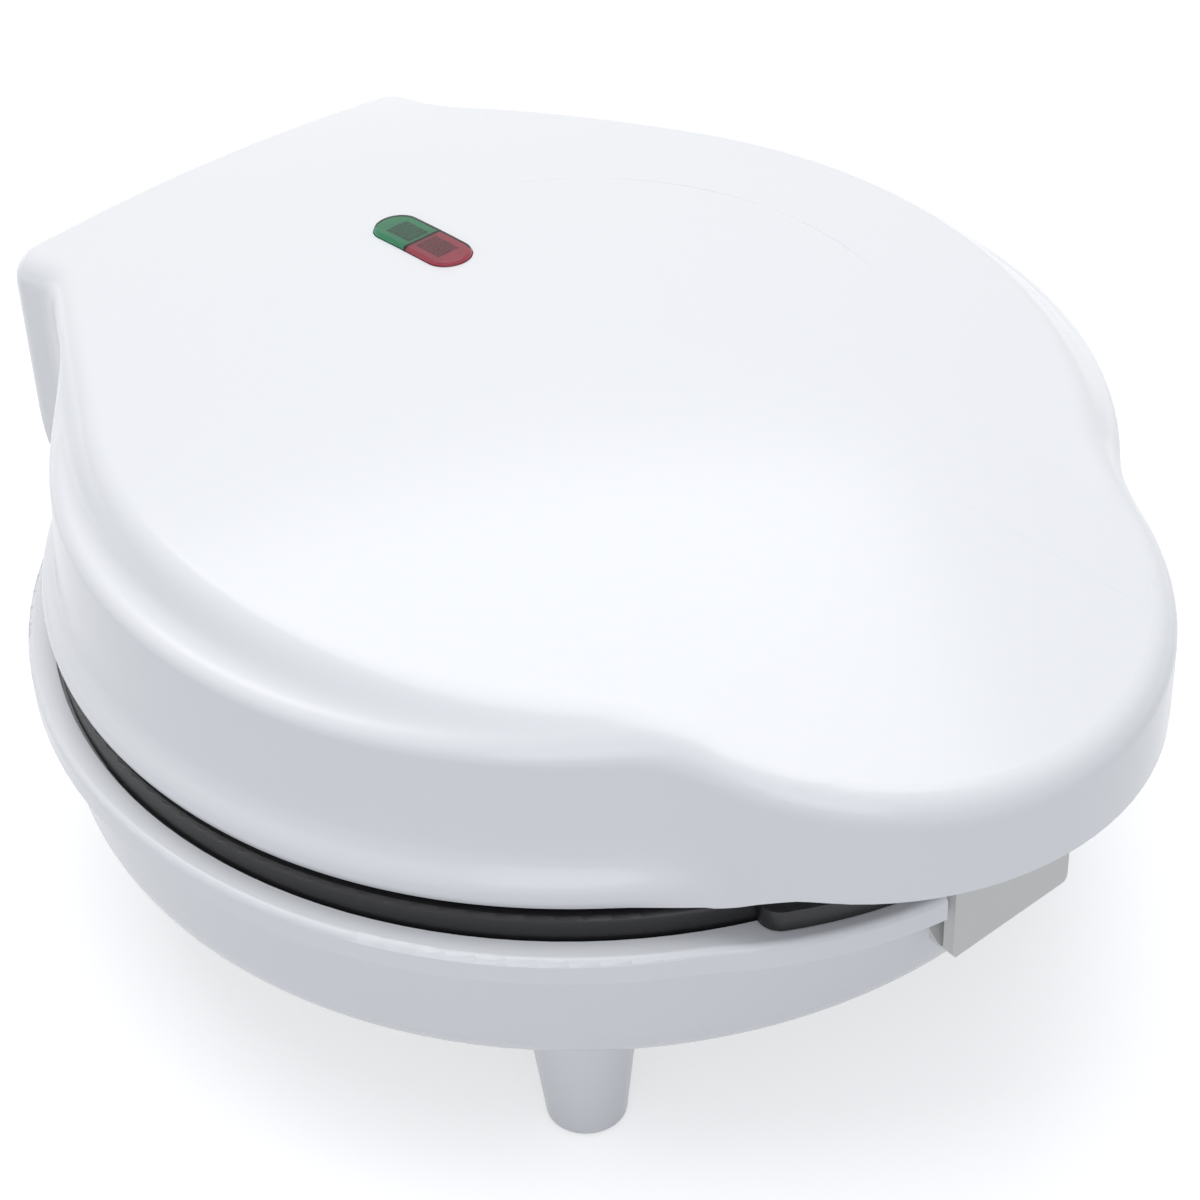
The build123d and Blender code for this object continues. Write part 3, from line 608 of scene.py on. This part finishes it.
    def skin(self, place: np.ndarray, beaded: bool = True) -> np.ndarray:
        """Distances to the outside of the lid, negative inside it.

        Args:
            place: points on the right side, one in a row.
            beaded: whether the lip's bead at the skirt's foot counts.

        Returns:
            One distance for each point.
        """
        wall = self.plan(place[:, :2])
        ray = place - self.crown_centre()
        reach = np.linalg.norm(ray, axis=1)
        crown = reach - self.crown_r
        # The edge is a ball that rolls under the crown and along the wall
        east = self.plan(place[:, :2] + np.array([self.step, 0.0])) - wall
        north = self.plan(place[:, :2] + np.array([0.0, self.step])) - wall
        turn = (east * ray[:, 0] + north * ray[:, 1]) / (self.step * reach)
        flat = 1 - turn**2
        out, up = wall + self.edge_r, crown + self.edge_r
        rolled = np.sqrt(np.maximum(0, out**2 + up**2 - 2 * out * up * turn) / flat) - self.edge_r
        platform = np.where(up < out * turn, wall, np.where(out < up * turn, crown, rolled))
        # The skirt leans, lies back behind its foot and has a rounded shoulder
        radius = np.linalg.norm(place[:, :2], axis=1)
        flow = self.flow(place)
        lean = (self.skirt_r - self.shoulder_r) / (self.shoulder_z - self.skirt_foot_z)
        out = radius - self.skirt_r + self.recess * flow + lean * (place[:, 2] - self.skirt_foot_z)
        out = out / math.hypot(1, lean) + self.shoulder_edge_r
        up = place[:, 2] - self.shoulder_z + self.shoulder_edge_r
        skirt = np.minimum(np.maximum(out, up), 0) - self.shoulder_edge_r
        skirt = skirt + np.hypot(np.maximum(out, 0), np.maximum(up, 0))
        if beaded:
            bead_at, bead_z, bead_r = self.bead
            bead = np.hypot(radius - bead_at, place[:, 2] - bead_z) - bead_r
            skirt = self.merged(skirt, bead + self.bead_fade * (1 - flow), self.flare)
        return self.merged(platform, skirt, self.crease + self.melt * flow)

    def cast(self, start: np.ndarray, ray: np.ndarray, lift: float) -> np.ndarray:
        """Finds where rays from the inside meet the skin.

        Args:
            start: the rays' starts, one in a row.
            ray: their directions.
            lift: how far outside the skin the places lie.

        Returns:
            One place for each ray.
        """
        low, high = np.zeros(len(start)), np.full(len(start), self.farthest)
        for _ in range(self.halvings):
            middle = (low + high) / 2
            inside = self.skin(start + ray * middle[:, None]) < lift
            low, high = np.where(inside, middle, low), np.where(inside, high, middle)
        return start + ray * low[:, None]


@dataclass
class LidAssembly:
    """The white lid: a crowned platform with the handle, flowing into a round skirt.

    Args:
        shape: its outside.
        lift: how far the flanks' skin lies over the solid.
        end_lift: the share of the lift that is left at the skin's ends.
        border_lift: the share of it that is left at the border on the crown.
        cover: how far the copy of the solid stays under the flanks' skin.
        cover_rise: how fast the cover grows with the flow.
        depth: how deep in the wall the copy's points still move.
        crown_touch: how near a point has to be to the crown to stay with it.
        sink: how far the skin's borders turn into the solid.
        ends_deg: where the flanks start and end, in plan.
        column_deg: the turn from one column of the skin to the next.
        heart: radius and height of the inner ring that the rays start from.
        foot_z: the flanks' lowest height.
        foot_rise: how much higher the skin ends where nothing flows.
        foot_turn: how far its foot turns in under the lip.
        under_gap: how far it stays over the handle's underside.
        skirt_rows: the rows' places between the foot and the inner ring's height.
        arch_deg: the ray's turns where the rows get close, wide again, and end.
        handle_under: y and z where the handle's underside starts and ends its sweep.
    """

    shape: LidShape = field(default_factory=LidShape)
    lift: float = 0.03
    end_lift: float = 0.05
    border_lift: float = 0.05
    cover: float = 0.3
    cover_rise: float = 4.0
    depth: float = 0.9
    crown_touch: float = 0.05
    sink: float = 0.5
    ends_deg: tuple[float, float] = (-74.0, 61.0)
    column_deg: float = 0.5
    heart: tuple[float, float] = (76.0, 79.0)
    foot_z: float = 59.3
    foot_rise: float = 3.6
    foot_turn: float = 2.4
    under_gap: float = 0.4
    skirt_rows: tuple[float, ...] = (*np.linspace(0, 0.34, 18), 0.4, 0.5, 0.65, 0.8)
    arch_deg: tuple[int, int, int] = (14, 92, 132)
    handle_under: tuple[tuple[float, float], ...] = ((-84.0, 58.9), (-104.0, 65.2))

    def build(self) -> None:
        """Makes the lid's skin with its flowing flanks."""
        skin = finished("lid_shell", WHITE_SHELL)
        self.tuck(skin)
        flanks = [self.flank(hand) for hand in Hand]
        for flank in flanks:
            dress(flank, WHITE_SHELL)
        join([skin, *flanks])
        finished("latch_pin", ZINC_STEEL)

    def tuck(self, skin: bpy.types.Object) -> None:
        """Moves the sides of the lid's copy just under the flanks' skin.

        Args:
            skin: the copy of the lid's solid.
        """
        place = np.empty(len(skin.data.vertices) * 3, dtype=np.float32)
        skin.data.vertices.foreach_get("co", place)
        place = place.reshape(-1, 3).astype(float) / MM
        side = place - np.array([0, CENTRE_Y, 0])
        side[:, 0] = np.abs(side[:, 0])
        # The lip keeps its own place: only the wall and the corner over it move
        out = self.shape.skin(side, beaded=False)
        reach = np.linalg.norm(side - self.shape.crown_centre(), axis=1)
        on_crown = np.abs(reach - self.shape.crown_r) <= self.crown_touch
        flow = self.shape.flow(side)
        outer = (side[:, 2] > self.foot_z) & (out > -self.depth) & (flow > 0)
        outer &= ~on_crown | (out > self.crown_touch)
        radius, height = self.heart
        plan = np.linalg.norm(side[:, :2], axis=1)
        heart = place * (radius / np.maximum(plan, 1))[:, None]
        heart[:, 1] = CENTRE_Y + side[:, 1] * radius / np.maximum(plan, 1)
        heart[:, 2] = np.minimum(height, place[:, 2])
        ray = heart - place
        cover = self.cover * np.minimum(1, self.cover_rise * flow)
        move = np.where(outer, np.maximum(out + cover, 0), 0)
        place += ray * (move / np.maximum(np.linalg.norm(ray, axis=1), 1))[:, None]
        skin.data.vertices.foreach_set("co", (place * MM).astype(np.float32).ravel())

    def lowest(self, place: np.ndarray) -> np.ndarray:
        """Finds how far down the flank's skin goes: to the lip, or to the handle's underside.

        Args:
            place: points on the right side, one in a row.

        Returns:
            One height for each point.
        """
        (start_y, start_z), (end_y, end_z) = self.handle_under
        under = start_z + (end_z - start_z) * eased(place[:, 1], start_y, end_y)
        foot = self.foot_z + self.foot_rise * (1 - self.shape.flow(place))
        return np.maximum(foot, under + self.under_gap)

    def courses(self) -> np.ndarray:
        """Casts the right flank's skin, row by row from the foot up to the crown.

        Returns:
            The skin's points in mm, as rows of columns, with borders turned into the solid.
        """
        columns = np.radians(np.arange(*self.ends_deg, self.column_deg))
        outward = np.stack([np.cos(columns), np.sin(columns), 0 * columns], axis=1)
        radius, height = self.heart
        start = outward * radius + np.array([0, 0, height])
        ends = self.end_lift + (1 - self.end_lift) * self.shape.flow(start)
        level = self.shape.cast(start, outward, self.lift)
        lowest = self.lowest(level)
        rows = []
        for share in self.skirt_rows:
            low = start.copy()
            low[:, 2] = lowest + (height - lowest) * share
            rows.append(self.shape.cast(low, outward, self.lift))
        rows.insert(0, rows[0] - outward * self.foot_turn)
        close, wide, last = self.arch_deg
        for degrees in (*range(0, close, 2), *range(close, wide), *range(wide, last, 4)):
            turn = math.radians(degrees)
            ray = outward * math.cos(turn) + np.array([0, 0, math.sin(turn)])
            near = max(0, degrees - wide) / (last - wide)
            lift = self.lift * (1 - (1 - self.border_lift) * near)
            rows.append(self.shape.cast(start, ray, lift * ends))
        grid = np.stack([self.sunk(rows[0], start), *rows, self.sunk(rows[-1], start)])
        first, final = self.sunk(grid[:, :1], start[0]), self.sunk(grid[:, -1:], start[-1])
        return np.concatenate([first, grid, final], axis=1)

    def flank(self, hand: Hand) -> bpy.types.Object:
        """Makes the skin of one flank, where the platform flows into the skirt.

        Args:
            hand: the side that it lies on.

        Returns:
            The skin as an object of its own.
        """
        grid = self.courses()
        grid[..., 0] *= hand.value
        grid[..., 1] += CENTRE_Y
        deselect()
        bpy.ops.mesh.primitive_grid_add(
            x_subdivisions=grid.shape[1] - 1, y_subdivisions=grid.shape[0] - 1
        )
        flank = bpy.context.active_object
        flank.name = flank.data.name = f"flank_{hand.name.lower()}"
        flank.data.vertices.foreach_set("co", (grid * MM).astype(np.float32).ravel())
        only(flank)
        bpy.ops.object.mode_set(mode="EDIT")
        bpy.ops.mesh.select_all(action="SELECT")
        if hand is Hand.LEFT:
            bpy.ops.mesh.flip_normals()
        bpy.ops.object.mode_set(mode="OBJECT")
        smooth(flank)
        return flank

    def sunk(self, border: np.ndarray, heart: np.ndarray) -> np.ndarray:
        """Moves a border a little towards the inside.

        Args:
            border: its points.
            heart: the places of the inner ring that they move towards.

        Returns:
            The points where they end up.
        """
        ray = heart - border
        return border + self.sink * ray / np.linalg.norm(ray, axis=-1, keepdims=True)


@dataclass
class Lens:
    """One half of the pill-shaped lens.

    Args:
        node: its solid.
        clear: the finish of its outside.
        wall: the finish of its inner wall.
        ribbed: the finish of its ribbed middle, with a darker colour that is painted shade.
        side: which half it is.
    """

    node: str
    clear: Finish
    wall: Finish
    ribbed: Finish
    side: Half


@dataclass
class Indicator:
    """The lens with its two lamps, in mm.

    Args:
        lens_y: the middle of the lens behind the plates' middle.
        half_length: half the length of the inner wall.
        half_width: half its width.
        joint_gap: how far the inner wall stays off the joint of the halves.
        depth: how far the inner wall lies under the lens's face.
        thickness: how deep the inner wall goes.
        crown_r: radius of the lens's face.
        crown_shift: how far behind the middle the face is highest.
        face_z: the height of the face there.
        bevel: how far the inner wall's edges are rounded.
        window: half the width and half the length of the ribbed middle.
        window_gap: how far the middle stays off the joint of the halves.
        window_lift: how far it stands over the inner wall.
        window_taper: how much smaller its top is, in width and in length.
        window_cuts: how often its edges are cut, so that it can follow the face.
    """

    lens_y: float = 44.0
    half_length: float = 11.5
    half_width: float = 4.0
    joint_gap: float = 0.22
    depth: float = 0.8
    thickness: float = 0.5
    crown_r: float = 430.9
    crown_shift: float = 15.0
    face_z: float = 105.9
    bevel: float = 0.3
    window: tuple[float, float] = (2.6, 3.6)
    window_gap: float = 0.88
    window_lift: float = 0.45
    window_taper: tuple[float, float] = (0.84, 0.88)
    window_cuts: int = 5

    def build(self) -> None:
        """Makes both lens halves and dresses the lamps."""
        halves = (
            Lens("green_lens", GREEN_CLEAR, LENS_WALL_GREEN, GREEN_RIBS_PAINTED_SHADE, Half.REAR),
            Lens("red_lens", RED_CLEAR, LENS_WALL_RED, RED_RIBS_PAINTED_SHADE, Half.FRONT),
        )
        for half in halves:
            outside = finished(half.node, half.clear)
            join([outside, self.inner_wall(half), self.ribbed_middle(half)])
        finished("lamp_holder", WHITE_NYLON)
        for lamp in ("red_lamp", "green_lamp"):
            finished(lamp, LAMP_GLASS)
        finished("lamp_holder_screws", ZINC_STEEL)

    def follow_face(self, piece: bpy.types.Object, depth: float) -> None:
        """Bends a flat piece so that its top follows the lens's face.

        Args:
            piece: a piece whose top lies at z 0.
            depth: how far the top ends up under the face.
        """
        for vertex in piece.data.vertices:
            x, y, z = vertex.co / MM
            off = math.hypot(x, y - CENTRE_Y - self.crown_shift)
            face = self.face_z - self.crown_r + math.sqrt(self.crown_r**2 - off**2)
            vertex.co.z = (face - depth + z) * MM

    def inner_wall(self, half: Lens) -> bpy.types.Object:
        """Makes the wall under one half of the face: a rounded end, drawn out to the joint.

        Args:
            half: the lens half.

        Returns:
            The wall as an object of its own.
        """
        way = half.side.value
        end_y = CENTRE_Y + self.lens_y + way * (self.half_length - self.half_width)
        joint_y = CENTRE_Y + self.lens_y + way * self.joint_gap
        deselect()
        bpy.ops.mesh.primitive_cylinder_add(
            vertices=64, radius=self.half_width * MM, depth=self.thickness * MM,
            location=(0, end_y * MM, -self.thickness / 2 * MM),
        )
        wall = bpy.context.active_object
        wall.name = wall.data.name = f"{half.node}_wall"
        settle(wall)
        bpy.ops.object.mode_set(mode="EDIT")
        bpy.ops.mesh.select_all(action="SELECT")
        bpy.ops.mesh.bisect(
            plane_co=(0, end_y * MM, 0), plane_no=(0, way, 0), clear_inner=True, use_fill=True
        )
        bpy.ops.mesh.extrude_region_move(
            TRANSFORM_OT_translate={"value": (0, (joint_y - end_y) * MM, 0)}
        )
        bpy.ops.mesh.select_all(action="SELECT")
        bpy.ops.mesh.normals_make_consistent(inside=False)
        bpy.ops.object.mode_set(mode="OBJECT")
        apply_modifier(wall, "BEVEL", width=self.bevel * MM, segments=3, limit_method="ANGLE")
        self.follow_face(wall, self.depth)
        dress(wall, half.wall)
        smooth(wall)
        return wall

    def ribbed_middle(self, half: Lens) -> bpy.types.Object:
        """Makes the raised ribbed middle of one half: a block with slanted sides.

        Args:
            half: the lens half.

        Returns:
            The middle as an object of its own.
        """
        width, length = self.window
        middle_y = CENTRE_Y + self.lens_y + half.side.value * (length + self.window_gap)
        deselect()
        bpy.ops.mesh.primitive_cube_add(size=2, location=(0, middle_y * MM, 0))
        middle = bpy.context.active_object
        middle.name = middle.data.name = f"{half.node}_middle"
        middle.scale = (width * MM, length * MM, self.window_lift * MM)
        settle(middle)
        top = max(vertex.co.z for vertex in middle.data.vertices)
        bpy.ops.object.mode_set(mode="EDIT")
        bpy.ops.mesh.select_all(action="DESELECT")
        bpy.ops.object.mode_set(mode="OBJECT")
        for face in middle.data.polygons:
            heights = [middle.data.vertices[k].co.z for k in face.vertices]
            face.select = min(heights) > top - TOUCH * MM
        bpy.ops.object.mode_set(mode="EDIT")
        bpy.ops.transform.resize(value=(*self.window_taper, 1))
        bpy.ops.mesh.select_all(action="SELECT")
        bpy.ops.mesh.subdivide(number_cuts=self.window_cuts)
        bpy.ops.object.mode_set(mode="OBJECT")
        self.follow_face(middle, self.depth)
        # The middle's darker colour is painted shade for the ribs' dusky look
        dress(middle, half.ribbed)
        smooth(middle)
        return middle


class BaseAssembly:
    """The white bowl with its feet, hinge pins and cord outlet."""

    def build(self) -> None:
        """Dresses the bowl and what it carries."""
        finished("base_shell", WHITE_SHELL)
        finished("foot_pads", PAD_RUBBER)
        finished("hinge_pins", ZINC_STEEL)
        finished("cord_bushing", WHITE_NYLON)
        finished("terminal_block", WHITE_NYLON)
        finished("terminal_screw", ZINC_STEEL)


class Cooking:
    """The plates, elements, heat shields and the pieces that watch the heat."""

    def build(self) -> None:
        """Dresses the cooking pieces of the base and of the lid."""
        for side in ("lower", "upper"):
            finished(f"{side}_plate", NONSTICK)
            finished(f"{side}_element", ELEMENT_SHEATH)
            finished(f"{side}_heat_shield", SHIELD_SHEET)
            finished(f"{side}_plate_screws", ZINC_STEEL)
        finished("thermostat", PHENOLIC)
        finished("thermal_fuse", FUSE_SLEEVE)
        finished("fuse_clip", SHIELD_SHEET)
        finished("fuse_clip_screw", ZINC_STEEL)


class LatchAssembly:
    """The hook plate that hangs under the handle."""

    def build(self) -> None:
        """Dresses the latch."""
        finished("latch", LATCH_PLASTIC)


@dataclass
class Lamp:
    """A soft lamp of the studio.

    Args:
        name: what it does.
        place: where it hangs, in metres.
        aim: the place that it looks at.
        size: its width and depth.
        power: its power in watts.
        tint: its sRGB hex colour.
    """

    name: str
    place: tuple[float, float, float]
    aim: tuple[float, float, float]
    size: tuple[float, float]
    power: float
    tint: str = "FFFFFF"

    def hang(self) -> None:
        """Adds the lamp to the scene."""
        light = bpy.data.lights.new(self.name, "AREA")
        light.shape = "RECTANGLE"
        light.size, light.size_y = self.size
        light.energy = self.power
        light.color = linear(self.tint)[:3]
        lamp = bpy.data.objects.new(self.name, light)
        bpy.context.scene.collection.objects.link(lamp)
        lamp.location = self.place
        ray = Vector(self.aim) - Vector(self.place)
        lamp.rotation_euler = ray.to_track_quat("-Z", "Y").to_euler()


@dataclass
class Studio:
    """The pale floor, the lamps and the camera.

    Args:
        eye: the camera's place in metres.
        yaw: its turn from straight rearwards, in radians.
        pitch: how far it looks down, in radians.
        roll: its lean, in radians.
        lens_mm: the focal length.
        sensor_mm: the sensor's width.
        floor: the floor's width in metres.
        paper: the floor's sRGB hex colour.
        glow_near: distance from the object up to which the floor's glow is least, and the glow.
        glow_far: distance from which it is full, and the glow.
        surround: sRGB hex colour of the light from all round.
        surround_power: its strength.
        lamps: the lamps.
    """

    eye: tuple[float, float, float] = (-0.28247, -0.34039, 0.39031)
    yaw: float = 0.69279
    pitch: float = 0.66062
    roll: float = -0.04058
    lens_mm: float = 89.86
    sensor_mm: float = 36.0
    floor: float = 6.0
    paper: str = "C9CACC"
    glow_near: tuple[float, float] = (0.3, 0.6)
    glow_far: tuple[float, float] = (0.8, 1.0)
    surround: str = "F1F4FA"
    surround_power: float = 0.47
    lamps: tuple[Lamp, ...] = (
        Lamp("overhead_softbox", (0.2, 0.4, 2.1), (0.0, 0.0, 0.05), (2.2, 2.2), 31.0),
        Lamp("front_softbox", (-0.85, -0.95, 0.6), (0.0, 0.0, 0.06), (0.9, 0.7), 2.9, "F3F6FF"),
    )

    def build(self) -> None:
        """Sets up the floor, the light and the camera."""
        self.lay_floor()
        self.light_world()
        for lamp in self.lamps:
            lamp.hang()
        self.place_camera()
        bpy.context.scene.view_settings.view_transform = "Standard"

    def seen(self, tree: bpy.types.NodeTree) -> bpy.types.NodeSocket:
        """Adds nodes that tell whether a ray shows the ground to the eye, straight or mirrored.

        Args:
            tree: the node tree of the floor or of the world.

        Returns:
            A socket that is 1 on camera, glossy and transmission rays.
        """
        path = add_node(tree, "ShaderNodeLightPath")
        either = add_node(
            tree,
            "ShaderNodeMath",
            links={0: path.outputs["Is Camera Ray"], 1: path.outputs["Is Glossy Ray"]},
            operation="MAXIMUM",
        )
        return add_node(
            tree,
            "ShaderNodeMath",
            links={0: either.outputs[0], 1: path.outputs["Is Transmission Ray"]},
            operation="MAXIMUM",
        ).outputs[0]

    def lay_floor(self) -> None:
        """Lays the white floor, which keeps the object's soft shadow."""
        deselect()
        bpy.ops.mesh.primitive_plane_add(size=self.floor)
        floor = bpy.context.active_object
        floor.name = "floor"
        paper = bpy.data.materials.new("paper_white_matte")
        paper.use_nodes = True
        tree = paper.node_tree
        tree.nodes.clear()
        matte = add_node(tree, "ShaderNodeBsdfDiffuse", {"Color": linear(self.paper)})
        glow = add_node(
            tree,
            "ShaderNodeEmission",
            {"Color": (1, 1, 1, 1)},
            {"Strength": self.lifted(tree)},
        )
        both = add_node(
            tree,
            "ShaderNodeAddShader",
            links={0: matte.outputs["BSDF"], 1: glow.outputs["Emission"]},
        )
        add_node(tree, "ShaderNodeOutputMaterial", links={"Surface": both.outputs["Shader"]})
        floor.data.materials.append(paper)

    def lifted(self, tree: bpy.types.NodeTree) -> bpy.types.NodeSocket:
        """The little light that lifts the floor to white where the eye sees it.

        Args:
            tree: the floor's node tree.

        Returns:
            The light's strength, which grows away from the object.
        """
        place = add_node(tree, "ShaderNodeTexCoord")
        away = add_node(
            tree, "ShaderNodeVectorMath", links={0: place.outputs["Object"]}, operation="LENGTH"
        )
        strength = add_node(
            tree,
            "ShaderNodeMapRange",
            {
                "From Min": self.glow_near[0],
                "From Max": self.glow_far[0],
                "To Min": self.glow_near[1],
                "To Max": self.glow_far[1],
            },
            {"Value": away.outputs["Value"]},
        )
        return add_node(
            tree,
            "ShaderNodeMath",
            links={0: self.seen(tree), 1: strength.outputs["Result"]},
            operation="MULTIPLY",
        ).outputs[0]

    def light_world(self) -> None:
        """Sets an even, slightly cool surround that is white where it is seen."""
        world = bpy.data.worlds.new("studio_surround")
        bpy.context.scene.world = world
        world.use_nodes = True
        tree = world.node_tree
        tree.nodes.clear()
        surround = add_node(
            tree,
            "ShaderNodeBackground",
            {"Color": linear(self.surround), "Strength": self.surround_power},
        )
        white = add_node(tree, "ShaderNodeBackground", {"Color": (1, 1, 1, 1), "Strength": 1.0})
        mixed = add_node(
            tree,
            "ShaderNodeMixShader",
            links={0: self.seen(tree), 1: surround.outputs[0], 2: white.outputs[0]},
        )
        add_node(tree, "ShaderNodeOutputWorld", links={"Surface": mixed.outputs[0]})

    def place_camera(self) -> None:
        """Places the camera at the photograph's viewing angle."""
        ahead = Vector((
            math.cos(self.pitch) * math.sin(self.yaw),
            math.cos(self.pitch) * math.cos(self.yaw),
            -math.sin(self.pitch),
        ))
        right = Vector((math.cos(self.yaw), -math.sin(self.yaw), 0))
        above = right.cross(ahead)
        lean_right = math.cos(self.roll) * right + math.sin(self.roll) * above
        lean_above = math.cos(self.roll) * above - math.sin(self.roll) * right
        turn = Matrix((lean_right, lean_above, -ahead)).transposed()
        camera = bpy.data.objects.new("camera", bpy.data.cameras.new("camera"))
        camera.data.sensor_width = self.sensor_mm
        camera.data.lens = self.lens_mm
        camera.data.clip_start = 0.01
        camera.matrix_world = Matrix.Translation(self.eye) @ turn.to_4x4()
        bpy.context.scene.collection.objects.link(camera)
        bpy.context.scene.camera = camera


def main() -> None:
    """Builds every sub-assembly in order, then the studio."""
    logging.basicConfig(level=logging.INFO, format="%(message)s")
    deselect()
    for assembly in (BaseAssembly(), Cooking(), LidAssembly(), Indicator(), LatchAssembly()):
        LOG.info("building %s", type(assembly).__name__)
        assembly.build()
    Studio().build()


if __name__ == "__main__":
    main()
